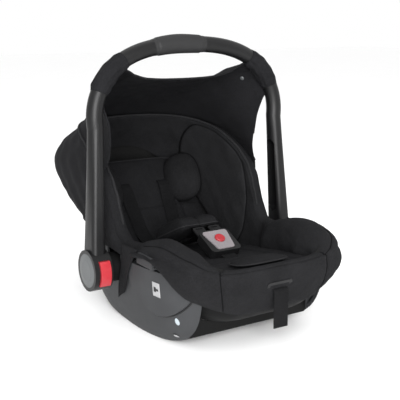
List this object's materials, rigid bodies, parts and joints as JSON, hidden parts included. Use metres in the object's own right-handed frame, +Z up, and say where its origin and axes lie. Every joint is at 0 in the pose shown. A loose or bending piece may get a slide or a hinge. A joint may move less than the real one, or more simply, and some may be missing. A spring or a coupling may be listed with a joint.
{
  "type": "infant car seat",
  "caption": "Rear-facing infant car seat: padded bucket on a rocker base, swinging carry handle with lock hubs, fabric canopy and buckled harness.",
  "frame": {"origin": "on the floor under the middle of the overall box", "axes": "+Z up, +Y towards the child's head, -Y towards the feet, -X the child's right"},
  "size_m": [0.46, 0.6142, 0.5256],
  "materials": {
    "shell_plastic": "moulded, fine grain",
    "base_plastic": "moulded, fine grain",
    "handle_plastic": "satin",
    "grip_rubber": "soft touch",
    "cap_plastic": "satin",
    "red_plastic": "satin gloss",
    "black_plastic": "fine grain",
    "plate_plastic": "satin",
    "steel": "bare",
    "foam": "expanded foam",
    "cover_fabric": "knitted polyester",
    "insert_fabric": "brushed polyester",
    "pad_fabric": "knitted polyester",
    "canopy_fabric": "woven polyester",
    "webbing": "woven webbing"
  },
  "bodies": {
    "seat": {"adjuster_frame": "black_plastic", "adjuster_pin": "steel", "adjuster_strap": "webbing", "base_screws": "steel", "belt_hook_left": "base_plastic", "belt_hook_right": "base_plastic", "buckle_body": "black_plastic", "buckle_plate": "plate_plastic", "buckle_spring": "steel", "canopy_front": "canopy_fabric", "canopy_rear": "canopy_fabric", "crotch_anchor": "black_plastic", "crotch_pad": "pad_fabric", "crotch_strap": "webbing", "foam_liner": "foam", "head_bolster_left": "insert_fabric", "head_bolster_right": "insert_fabric", "insert_back": "insert_fabric", "insert_seat": "insert_fabric", "lock_ring_left": "steel", "lock_ring_right": "steel", "pivot_pin_left": "steel", "pivot_pin_right": "steel", "rear_belt_guide": "base_plastic", "rocker_base": "base_plastic", "seat_cover": "cover_fabric", "seat_shell": "shell_plastic", "shoulder_pad_left": "pad_fabric", "shoulder_pad_right": "pad_fabric", "shoulder_strap_left": "webbing", "shoulder_strap_right": "webbing", "tongue_left": "black_plastic", "tongue_right": "black_plastic"},
    "handle": {"handle_arch": "handle_plastic", "handle_grip": "grip_rubber", "hub_plate_left": "handle_plastic", "hub_plate_right": "handle_plastic", "hub_cap_left": "cap_plastic", "hub_cap_right": "cap_plastic", "canopy_sleeve_left": "canopy_fabric", "canopy_sleeve_right": "canopy_fabric", "button_spring_left": "steel", "button_spring_right": "steel"},
    "release_left": {"release_button_left": "red_plastic", "lock_pawl_left": "steel"},
    "release_right": {"release_button_right": "red_plastic", "lock_pawl_right": "steel"},
    "buckle_button": {"buckle_button": "red_plastic"},
    "adjuster_lever": {"adjuster_lever": "steel"}
  },
  "joints": [
    {"name": "handle_swing", "type": "hinge", "parent": "seat", "child": "handle", "pos_m": [0, -0.026, 0.11], "axis": [-1, 0, 0], "range_deg": [0, 92], "deforming": ["canopy_front"]},
    {"name": "release_left_press", "type": "slide", "parent": "handle", "child": "release_left", "axis": [0, 1, 0], "range_m": [0, 0.004], "stiffness_N_per_m": 900, "springref_m": -0.004, "deforming": ["button_spring_left"]},
    {"name": "release_right_press", "type": "slide", "parent": "handle", "child": "release_right", "axis": [0, 1, 0], "range_m": [0, 0.004], "stiffness_N_per_m": 900, "springref_m": -0.004, "deforming": ["button_spring_right"]},
    {"name": "buckle_button_press", "type": "slide", "parent": "seat", "child": "buckle_button", "axis": [0, 0.4305, -0.9026], "range_m": [0, 0.003], "stiffness_N_per_m": 1500, "springref_m": -0.003, "deforming": ["buckle_spring"]},
    {"name": "adjuster_lever_press", "type": "hinge", "parent": "seat", "child": "adjuster_lever", "pos_m": [0, -0.28678, 0.11993], "axis": [1, 0, 0], "range_deg": [0, 10], "stiffness_Nm_per_rad": 0.1, "springref_deg": -5.73}
  ]
}
